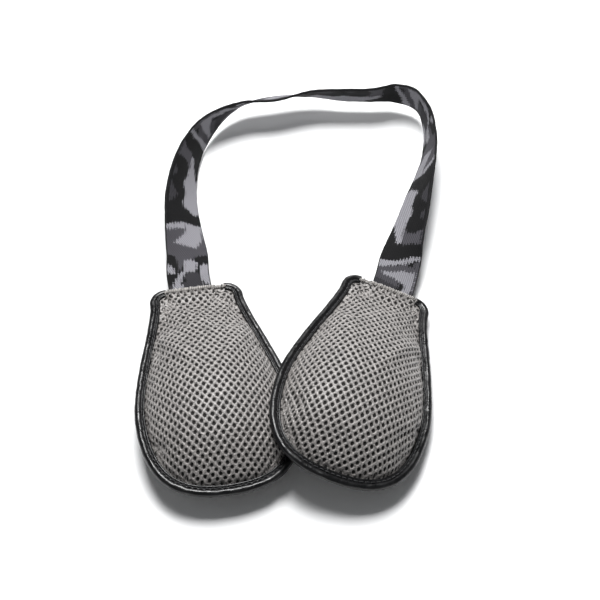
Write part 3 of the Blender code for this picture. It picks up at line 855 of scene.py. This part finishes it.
def binding(pouch, seed):
    """The tape, with creases across its roll, closed and rounded at both ends."""
    outer, inward = edge_frame(BINDING_STEPS)
    along = distances(outer)
    angle = np.arctan2(section[:, 1], ROLL - section[:, 0])
    a, b = along[:, None], angle[None, :] + 10
    # Cross wrinkles, sharper slanting pinches, and a slow swell.
    crease = 0.10 * bumps(a / 3.1, b * 1.3 + a * 0.11, seed)
    crease = crease - 0.12 * np.abs(bumps(a / 1.7 + b * 0.8, b * 0.9, seed + 1)) ** 2
    crease = crease + 0.10 * bumps(a / 9, b * 0.7, seed + 2)
    on_roll = (section[:, 0] < 3.9) & (np.hypot(section[:, 0] - ROLL, section[:, 1]) > 1.9)
    wave = 0.10 * bumps(a / 4.3, np.sign(section[:, 1]) * 3, seed + 3)
    swell = 1 + np.where(on_roll, crease / ROLL, 0)
    inset = ROLL + (section[:, 0] - ROLL) * swell
    high = section[:, 1] * swell + np.where(on_roll, 0, wave * (np.abs(section[:, 1]) > 1.3))
    end = np.minimum(along, along[-1] - along)[:, None]
    close = np.sqrt(np.clip(1 - (1 - np.clip(end / END_ROUNDING, 0.02, 1)) ** 2, 0.01, 1))
    inset, high = SECTION_MIDDLE + (inset - SECTION_MIDDLE) * close, high * close
    flat = outer[:, None, :] + inward[:, None, :] * inset[..., None]
    points = np.concatenate([flat, high[..., None]], -1)
    rows, columns = points.shape[:2]
    faces = grid_faces(rows, columns, round_columns=True)[:, ::-1].tolist()
    caps = [cap[::-1] for cap in end_caps(rows, columns)]
    placed = to_row(pouch, points.reshape(-1, 3))
    placed[:, 2] = np.maximum(placed[:, 2], 0.05)
    piece = new_piece(f"{pouch}_bound_edge", placed, faces + caps, leather)
    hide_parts(f"{pouch}_edge_binding")
    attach(piece, f"{pouch}_pouch")
    print(piece.name, len(faces), "faces")


# %% The binding's stitches
STITCH_LENGTH, STITCH_GAP = 2.2, 0.9
STITCH_INSET, STITCH_HEIGHT, STITCH_DIP = 4.05, 1.62, 0.3
STITCH_RADIUS = 0.26


def binding_stitches(pouch):
    """Rows of short thread stitches in the groove between roll and flange, front and back."""
    outer, inward = edge_frame(BINDING_STEPS)
    groove = outer + inward * STITCH_INSET
    at = distances(groove)
    middles = np.arange(6.0, at[-1] - 6.0, STITCH_LENGTH + STITCH_GAP)
    share = np.linspace(-1, 1, 5)
    lines = []
    for side in (1, -1):
        for middle in middles:
            where = middle + share * STITCH_LENGTH / 2
            x, y = np.interp(where, at, groove[:, 0]), np.interp(where, at, groove[:, 1])
            z = side * (STITCH_HEIGHT - STITCH_DIP * share ** 2)
            lines.append(to_row(pouch, np.column_stack([x, y, z])))
    piece = add_tubes(f"{pouch}_edge_stitches", lines, STITCH_RADIUS, 6, thread)
    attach(piece, f"{pouch}_pouch")
    print(piece.name, len(lines), "stitches")


for number, pouch in enumerate(POUCHES):
    binding(pouch, 40 + 10 * number)
    binding_stitches(pouch)

# %% [markdown]
# ## The mouth
# Each panel ends in a rolled hem, and the two hems are closed beside the strap. An overlock
# thread winds round each hem and leaves a looped, slightly frayed rim. Painted loops would look
# flat from the side. So a hem is a bar along the mouth, and its thread is a fine bar on a coil
# about it, with uneven turns.

# %% Hems, overlock and mouth thread
LIP_STEPS, LIP_SIDES = 160, 14
OVERLOCK_TURNS, OVERLOCK_RADIUS = 38, 0.21
LOOP_STEPS, LOOP_GAP, LOOP_RADIUS = 25, 4, 0.34


def lip_line(strap_x, count):
    """Where a lip runs: x along the mouth, its y, and its height over the seam."""
    end = edge_path(PANEL_INSET)[0]
    x = np.linspace(-end[0] + 0.9, end[0] - 0.9, count)
    middle = np.maximum(lip_height(x, strap_x) - PANEL_THICKNESS / 2, 0.15 + LIP_RADIUS)
    return x, np.full(count, end[1] + 0.3 + LIP_RADIUS), middle


def mouth(pouch, strap_x, seed):
    """Both hems with their overlock coils, and the black loops that close them."""
    x, y, middle = lip_line(strap_x, LIP_STEPS)
    for label, side in (("front", 1), ("back", -1)):
        line = np.column_stack([x, y, side * middle])
        line[:, 1] += 0.12 * bumps(x / 2.3 + 50, side, seed)
        radius = LIP_RADIUS * (0.86 + 0.10 * bumps(x / 1.6 + 50, 3 * side, seed + 1))
        lip = to_row(pouch, tube(line, radius, LIP_SIDES).reshape(-1, 3))
        lip_faces = grid_faces(LIP_STEPS, LIP_SIDES, round_columns=True).tolist()
        lip_faces += end_caps(LIP_STEPS, LIP_SIDES)
        piece = new_piece(f"{pouch}_{label}_hem", lip, lip_faces, lip_cloth)
        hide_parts(f"{pouch}_{label}_lip")
        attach(piece, f"{pouch}_pouch")

        t = np.linspace(0, 1, OVERLOCK_TURNS * 12)
        at = -x[-1] * 0.97 + 1.94 * x[-1] * t
        centre = np.interp(at, x, middle)
        swing = 2 * math.pi * OVERLOCK_TURNS * t
        reach = LIP_RADIUS * 0.9 + 0.1 + 0.3 * bumps(t * 90, 0, seed + 7)
        at = at + 0.5 * bumps(t * 70, 4, seed + 8)
        coil = np.column_stack([at + 0.5 * np.sin(swing + 0.8), y[0] + reach * np.cos(swing) * 1.02,
                                side * (centre + reach * np.sin(swing) * 0.98)])
        piece = add_tubes(f"{pouch}_{label}_overlock", [to_row(pouch, coil)],
                          OVERLOCK_RADIUS, 6, light_thread)
        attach(piece, f"{pouch}_pouch")

    places = []
    for side in (-1, 1):
        start, end = strap_x + side * (STRAP_CLEAR + 0.7), side * (x[-1] - 2.4)
        places += list(np.linspace(end, start, 1 + round(abs(end - start) / LOOP_GAP)))
    around = LIP_RADIUS + 0.65
    turn = np.linspace(-0.5, 0.5, LOOP_STEPS) * math.pi
    loops = []
    for at in sorted(places):
        out = np.interp(at, x, middle)
        loop = np.column_stack([np.zeros(LOOP_STEPS), around * np.cos(turn),
                                np.sin(turn) * (out + around * 0.7)])
        loops.append(to_row(pouch, loop + [at, y[0] - 0.2, 0]))
    piece = add_tubes(f"{pouch}_mouth_thread", loops, LOOP_RADIUS, 7, thread)
    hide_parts(*[f"{pouch}_mouth_stitch_{number}" for number in range(1, 5)])
    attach(piece, f"{pouch}_pouch")
    print(f"{pouch} mouth: {OVERLOCK_TURNS} overlock turns a hem, {len(loops)} closing loops")


for number, (pouch, (_, _, strap_x)) in enumerate(POUCHES.items()):
    mouth(pouch, strap_x, 70 + 9 * number)

# %% [markdown]
# ## The elastic strap
# The strap is one length of 25 mm elastic webbing that lies in a loop, on edge along its far
# run. A simulated ribbon would fall where it liked. So its middle line goes through given
# knots, each with the lean of its outer edge, and leaves each mouth straight. A flat section
# with slightly raised selvedges is carried along it. It crosses five joints, and fabric may bend
# over one joint at a time, so it is made in five lengths that meet where nothing bends.

# %% The strap's middle line
# Each knot is x, y and z in mm, and the lean in degrees.
LEFT_KNOTS = [(-67, 12, 13, 11), (-70.5, 33.5, 13.5, 29), (-73, 56, 14, 43),
              (-72.5, 77, 14.5, 57), (-69, 97, 15, 73)]
CROWN_KNOTS = [(-61, 116, 16, 91), (-49, 129, 18, 114), (-36, 137, 19.5, 132),
               (-19, 140.5, 20, 142), (6.5, 146, 20, 130), (30, 145.5, 19.5, 121),
               (47, 145.5, 19.5, 119), (63.5, 146.5, 20, 111), (76, 141, 20, 105),
               (82.5, 126, 18.5, 90)]
RIGHT_KNOTS = [(83.5, 105.5, 16.5, 76), (80.5, 85.5, 15.5, 65), (75, 65.5, 15, 53),
               (69.5, 44, 14, 41), (63.5, 23, 13, 26)]
TAIL_ENDS = (-13.2, -7.0, 1.2, 9.0)    # along the mouth's own middle line, in mm


def strap_knots():
    """Every knot as x, y, z and lean in radians, from the left tail's end to the right tail's."""
    def sewn(pouch, side):
        """The knots in one mouth, which lean with the pouch."""
        _, turn, strap_x = POUCHES[pouch]
        ends = to_row(pouch, np.array([(strap_x, y, 0) for y in TAIL_ENDS]))
        return np.column_stack([ends, np.full(len(ends), math.radians(side * turn[1]))])

    chosen = np.array(LEFT_KNOTS + CROWN_KNOTS + RIGHT_KNOTS, float)
    chosen[:, :3] -= LAYOUT_CENTRE
    chosen[:, 3] = np.radians(chosen[:, 3])
    return np.vstack([sewn("left", 1), chosen, sewn("right", -1)[::-1]])


def smooth_curve(knots, steps):
    """Cubic pieces through the knots, with slopes taken from each knot's neighbours."""
    at = distances(knots[:, :3])
    slope = np.gradient(knots, at, axis=0)
    found = []
    t = np.linspace(0, 1, steps, endpoint=False)[:, None]
    for k, size in enumerate(np.diff(at)):
        leaving = (2 * t ** 3 - 3 * t ** 2 + 1) * knots[k] + (t ** 3 - 2 * t ** 2 + t) * size * slope[k]
        found.append(leaving + (3 * t ** 2 - 2 * t ** 3) * knots[k + 1]
                     + (t ** 3 - t ** 2) * size * slope[k + 1])
    return np.vstack(found + [knots[-1:]])


KNOT_STEPS = 24
curve = smooth_curve(strap_knots(), KNOT_STEPS)
curve_at = distances(curve[:, :3])
# Distances along the strap start from the left fold line, just before the tail's third knot.
mouth_at = curve_at[2 * KNOT_STEPS] - TAIL_ENDS[2]
print(f"strap: {curve_at[-1]:.0f} mm end to end, tails included")


def strap_frame(at):
    """The strap's middle, outer edge direction and face direction, at distances along it."""
    where = at + mouth_at
    middle = np.column_stack([np.interp(where, curve_at, curve[:, k]) for k in range(4)])
    slopes = np.gradient(curve[:, :3], curve_at, axis=0)
    ahead = unit(np.column_stack([np.interp(where, curve_at, slopes[:, k]) for k in range(3)]))
    flat_side = unit(np.column_stack([-ahead[:, 1], ahead[:, 0], np.zeros(len(at))]))
    upright = np.cross(ahead, flat_side)
    upright *= np.sign(upright[:, 2:])
    outer = np.cos(middle[:, 3:]) * flat_side + np.sin(middle[:, 3:]) * upright
    return middle[:, :3], outer, np.cross(ahead, outer)


# %% [markdown]
# ## The camouflage weave
# The jacquard pattern repeats about every 148 mm: black ground, two greys and a light grey, in
# patches with stepped edges. Noise gives patches, but not these ones. So each patch is a
# drawn outline in strap coordinates. A vertex attribute holds the signed distance to the
# nearest edge of each shade. It blends smoothly between points, so the material can cut it
# sharply, and add the weave's saw-tooth to the cut.

# %% The patches, as (along, across) outlines in mm
REPEAT = 147.8
DARK = [
    [(-2, 6), (5, 5), (11, 1), (12, -5), (8, -7.5), (-2, -8)],
    [(65.5, 10), (81, 10.5), (77.5, 7), (74, 3.8), (70, 6)],
    [(85.5, 10), (93, 10), (91, 7), (88, 7)],
    [(143, 12.6), (150, 12.6), (150, -12.6), (140, -12.6), (139, -2), (142, 3)],
]
MID = [
    [(12, 5.5), (24, 8), (26.5, 12.6), (45, 12.6), (53, 0), (52, -12.6), (27, -12.6),
     (25.5, -6), (22, -1)],
    [(101, 11), (111.5, 11), (110.3, 5), (111.5, 0), (109, -2), (98, -2.5), (102, 1), (103, 5)],
    [(121, 12.6), (144, 12.6), (143, 2), (141, -12.6), (131, -12.6), (127, -3), (124, 4)],
]
BLACK = [
    [(3.5, 12.6), (25, 12.6), (26, 9), (22, 6.8), (14, 5.6), (11, 7), (8.5, 8.5)],
    [(3.5, 4.6), (6.8, 4.2), (6.2, 1), (4, 1.8)],
    [(14, -6), (19, -7.2), (24.5, -4.8), (25.5, -12.6), (20, -12.6), (19.5, -9), (16, -7.5)],
    [(122.5, 9.5), (126.5, 8.5), (126, 5), (123.5, 5)],
    [(139.5, 4.5), (142, 6), (146.5, 4), (146, 1.2), (143, 2.6), (140, 2.6)],
]
LIGHT = [
    [(-2, 10.5), (4, 9), (9, 6), (12.5, 3), (11, 1), (8, 3), (3, 5.2), (-2, 6)],
    [(10.5, 8.4), (13, 7), (17.5, 10.8), (15, 12.2), (11, 11.2)],
    [(11.5, 2), (22, 2), (23.2, -2), (20, -6), (12, -4.6)],
    [(0.5, -12.6), (2, -8), (8, -7), (17, -7.6), (19.6, -9.4), (17, -12.6)],
    [(36, 7.5), (43, 1), (47, -1.5), (52.5, 0), (52, -11.6), (40, -10.5), (32, -6), (33, -2)],
    [(44.5, 12.6), (47, 12.6), (49.5, 8), (52.8, 1), (51, -1), (48, 0), (47, 5)],
    [(61, -8.5), (64, -5), (66, -1), (69, -0.4), (75, -2), (79, -2.2), (84, 0), (88, -0.4),
     (94, -2), (104, -2.4), (109.5, -1.4), (110.2, -4.5), (104, -7), (97, -10), (90, -12.6),
     (68, -12.6), (62, -10.4)],
    [(119.5, 11), (121.5, 12.2), (123.5, 6), (126.5, -1), (129.5, -8), (131, -12.6), (124.5, -12.6),
     (124, -4), (121.8, 2), (120, 6)],
    [(129, 10.5), (141, 10.5), (139, 4), (137.5, -1), (137, -8), (134.4, -9), (133, -3),
     (130.5, 2), (130, 6)],
    [(138, 9.4), (141, 10.6), (150, 6.6), (150, 3.4), (143, 5.8), (139, 7)],
]
# Later shades lie over earlier ones, and all of them over the black ground.
GROUND = (0.0038, 0.0038, 0.0043, 1)
SHADES = {
    "dark": (DARK, (0.027, 0.026, 0.030, 1)),
    "mid": (MID, (0.051, 0.049, 0.056, 1)),
    "black": (BLACK, GROUND),
    "light": (LIGHT, (0.212, 0.209, 0.228, 1)),
}
print("patches:", {shade: len(patches) for shade, (patches, _) in SHADES.items()})


def patch_distance(along, across, patches):
    """Signed distance in mm to the nearest patch, negative inside, with the pattern repeated."""
    nearest = np.full(len(along), 99.0)
    for shift in (-REPEAT, 0.0, REPEAT):
        here = np.column_stack([(along % REPEAT) + shift, across])
        for patch in patches:
            corner = np.array(patch, float)
            after = np.roll(corner, -1, axis=0)
            edge = after - corner
            to_point = here[:, None, :] - corner
            share = np.clip((to_point * edge).sum(-1) / (edge ** 2).sum(-1), 0, 1)
            away = np.linalg.norm(to_point - share[..., None] * edge, axis=-1).min(1)
            crosses = (corner[:, 1] > here[:, None, 1]) != (after[:, 1] > here[:, None, 1])
            rise = np.where(edge[:, 1] == 0, 1e-9, edge[:, 1])
            at_x = corner[:, 0] + (here[:, None, 1] - corner[:, 1]) * edge[:, 0] / rise
            inside = (crosses & (here[:, None, 0] < at_x)).sum(1) % 2 == 1
            nearest = np.minimum(nearest, np.where(inside, -away, away))
    return nearest


# %% Material: webbing
SELVEDGE = (0.010, 0.010, 0.011, 1)
FACE_HALF = 11.9                  # half of the patterned face; the selvedge's yarn lies beyond it
TOOTH_HALF_PERIODS = (0.95, 0.6)  # of the saw teeth, across and along
TOOTH_SIZE, TOOTH_MIDDLE, WANDER_SIZE, CUT_SOFTNESS = 1.7, 1.32, 3.0, 0.22
RIB_ACROSS, RIB_ALONG, PICK_ALONG = 4.6, 2.4, 4.9          # radians per mm
webbing, tree, shader = new_material("webbing", 0.8, Specular_IOR_Level=0.16)
flat_uv = add_node(tree, "ShaderNodeUVMap", uv_map="flat")
parts = add_node(tree, "ShaderNodeSeparateXYZ")
tree.links.new(flat_uv.outputs["UV"], parts.inputs[0])
across, along = parts.outputs[0], parts.outputs[1]
# Saw teeth across and along the strap, and a slow wander, all in mm added to each patch's edge.
teeth = [maths(tree, "PINGPONG", way, half) for way, half in zip((across, along), TOOTH_HALF_PERIODS)]
wander = use_group(tree, mottle, Color=(1, 1, 1, 1), Amount=1.0, Per_metre=420.0)
wander = maths(tree, "MULTIPLY", maths(tree, "SUBTRACT", wander.outputs["Value"], 0.5), WANDER_SIZE)
jagged = times_plus(tree, maths(tree, "ADD", *teeth), TOOTH_SIZE, wander)
jagged = maths(tree, "SUBTRACT", jagged, TOOTH_MIDDLE)
colour = GROUND
for shade, (_, tint) in SHADES.items():
    edge = add_node(tree, "ShaderNodeAttribute", attribute_name=f"{shade}_edge")
    moved = maths(tree, "ADD", edge.outputs["Fac"], jagged)
    colour = mix_colour(tree, remap(tree, moved, CUT_SOFTNESS, -CUT_SOFTNESS), colour, tint)
# Twill: fine slanting ribs, which also let the ground show between the light yarns.
slant = times_plus(tree, across, RIB_ACROSS, maths(tree, "MULTIPLY", along, RIB_ALONG))
pick = maths(tree, "SINE", maths(tree, "MULTIPLY", along, PICK_ALONG))
weave = maths(tree, "MULTIPLY", maths(tree, "SINE", slant), pick)
fuzz = use_group(tree, fibre, Per_metre=2600.0).outputs["Height"]
woven_tone, fuzzy_tone = times_plus(tree, weave, 0.48, 0.97), times_plus(tree, fuzz, 0.5, 0.75)
shading = maths(tree, "MULTIPLY", woven_tone, fuzzy_tone)
selvedge = maths(tree, "GREATER_THAN", maths(tree, "ABSOLUTE", across), FACE_HALF)
woven = shaded(tree, mix_colour(tree, selvedge, colour, SELVEDGE), shading)
put(tree, shader.inputs["Base Color"], woven)
bump(tree, shader, maths(tree, "ADD", weave, fuzz), 0.1, 0.6)
print("material:", webbing.name, "with", len(tree.nodes), "nodes")

# %% The strap's lengths
FACE_POINTS = 34
FACE_HEIGHT, SELVEDGE_RISE, RISE_AT = 0.66, 0.14, 10.6
STRAP_LENGTH, LEFT_TURN, STRETCH_AT, RIGHT_TURN = 439.0, 132.6, 209.4, 296.9   # free length, joints


def strap_section():
    """Across and thickness round the webbing: top face, selvedge, bottom face, selvedge."""
    across = np.linspace(-FACE_HALF, FACE_HALF, FACE_POINTS)
    thick = FACE_HEIGHT + SELVEDGE_RISE * smooth_step((np.abs(across) - RISE_AT) / 0.6)
    turn = np.linspace(math.pi / 2, -math.pi / 2, 6)[1:-1]
    side = np.column_stack([FACE_HALF + 0.6 * np.cos(turn), STRAP_THICKNESS / 2 * np.sin(turn)])
    top, bottom = np.column_stack([across, thick]), np.column_stack([across[::-1], -thick])
    return np.vstack([top, side, bottom, side[::-1] * [-1, 1]])


def strap_length(name, start, end, bodies, bend, replaced):
    """Webbing between two distances. The two bodies are not used; the bend's (start, end) only gives
    two points that nothing uses.
    """
    rows = round((end - start) / 0.8)
    at = np.linspace(start, end, rows)
    middle, outer, face = strap_frame(at)
    outline = strap_section()
    across, thick = outline.T[:, None]
    free = smooth_step((at + 2) / 12) * smooth_step((STRAP_LENGTH + 2 - at) / 12)
    # Small ruffles along both selvedges, and slow waves over the whole width.
    ruffle = 0.16 * bumps(at[:, None] / 3.0, across / 14 + 7, 91) * (np.abs(across) / 12.5) ** 2
    ruffle = ruffle + 0.35 * bumps(at[:, None] / 17, across / 9 + 5, 95)
    lift = thick + ruffle * free[:, None]
    points = middle[:, None] + across[..., None] * outer[:, None] + lift[..., None] * face[:, None]
    flat = np.stack(np.broadcast_arrays(across, at[:, None]), -1).reshape(-1, 2)
    values = {f"{shade}_edge": patch_distance(flat[:, 1], flat[:, 0], patches)
              for shade, (patches, _) in SHADES.items()}
    size = (rows, len(outline))
    faces = grid_faces(*size, round_columns=True).tolist() + end_caps(*size)
    piece = new_piece(name, points.reshape(-1, 3), faces, webbing, flat, values)
    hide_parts(*replaced)
    bend_start, bend_end = strap_frame(np.array(bend, float))[0] * MM
    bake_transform(piece)
    print(name, rows, "rows")


TAIL = 11.9                       # how much strap is sewn into each mouth
# Name, start and end, the two bodies, the span of the joint between them, and the CAD nodes it
# replaces.
LENGTHS = [
    ("webbing_left_end", -TAIL, 66, ("left_pouch", "left_leg"),
     (-0.5, 9), ["left_strap_tail", "strap_left_leg"]),
    ("webbing_left_turn", 66, 156, ("left_leg", "strap_crown"),
     (LEFT_TURN - 16, LEFT_TURN + 16), []),
    ("webbing_crown", 156, 262, ("strap_crown", "strap_crown_right"),
     (STRETCH_AT - 46, STRETCH_AT + 46), ["strap_left_crown", "strap_right_crown"]),
    ("webbing_right_turn", 262, 366, ("strap_crown_right", "right_leg"),
     (RIGHT_TURN - 16, RIGHT_TURN + 16), []),
    ("webbing_right_end", 366, STRAP_LENGTH + TAIL, ("right_leg", "right_pouch"),
     (STRAP_LENGTH - 9, STRAP_LENGTH + 0.5), ["strap_right_leg", "right_strap_tail"]),
]
for length in LENGTHS:
    strap_length(*length)

# %% [markdown]
# ## What is inside
# The cord in the binding, the inner bag and its filling don't show. They could be made again as
# loose cloth and grains, but their CAD shapes are right, so they stay and only get their own
# finishes.

# %% Finishes of the hidden pieces
HIDDEN = {"piping_cord": cord_cotton, "front_liner": liner_cloth, "back_liner": liner_cloth,
          "filling": stuffing}
for pouch in POUCHES:
    for label, material in HIDDEN.items():
        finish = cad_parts[f"{pouch}_{label}"].data.materials
        finish.clear()
        finish.append(material)
print("hidden pieces:", len(POUCHES) * len(HIDDEN))

# %% [markdown]
# ## The table
# The object lies on white paper. A small sheet would show its edge in low views, so the table is
# one large face. The soft boxes don't reach its far parts, so the paper gives off a little light
# of its own there, which grows with the distance from the object.

# %% The table
TABLE = 9000
GLOW_FROM, GLOW_FULL, GLOW = 0.4, 1.5, 0.85        # distances in metres, and the strength
paper, tree, shader = new_material(
    "table", 0.7, Base_Color=(0.93, 0.935, 0.94, 1), Emission_Color=ROOM_TINT)
place = add_node(tree, "ShaderNodeTexCoord")
away = add_node(tree, "ShaderNodeVectorMath", operation="LENGTH")
tree.links.new(place.outputs["Object"], away.inputs[0])
glow = remap(tree, away.outputs["Value"], GLOW_FROM, GLOW_FULL, 0.0, GLOW)
put(tree, shader.inputs["Emission Strength"], glow)
corners = [(-TABLE, -TABLE, 0), (TABLE, -TABLE, 0), (TABLE, TABLE, 0), (-TABLE, TABLE, 0)]
table = new_piece("table", corners, [(0, 1, 2, 3)], paper)
print("table:", 2 * TABLE, "mm across")
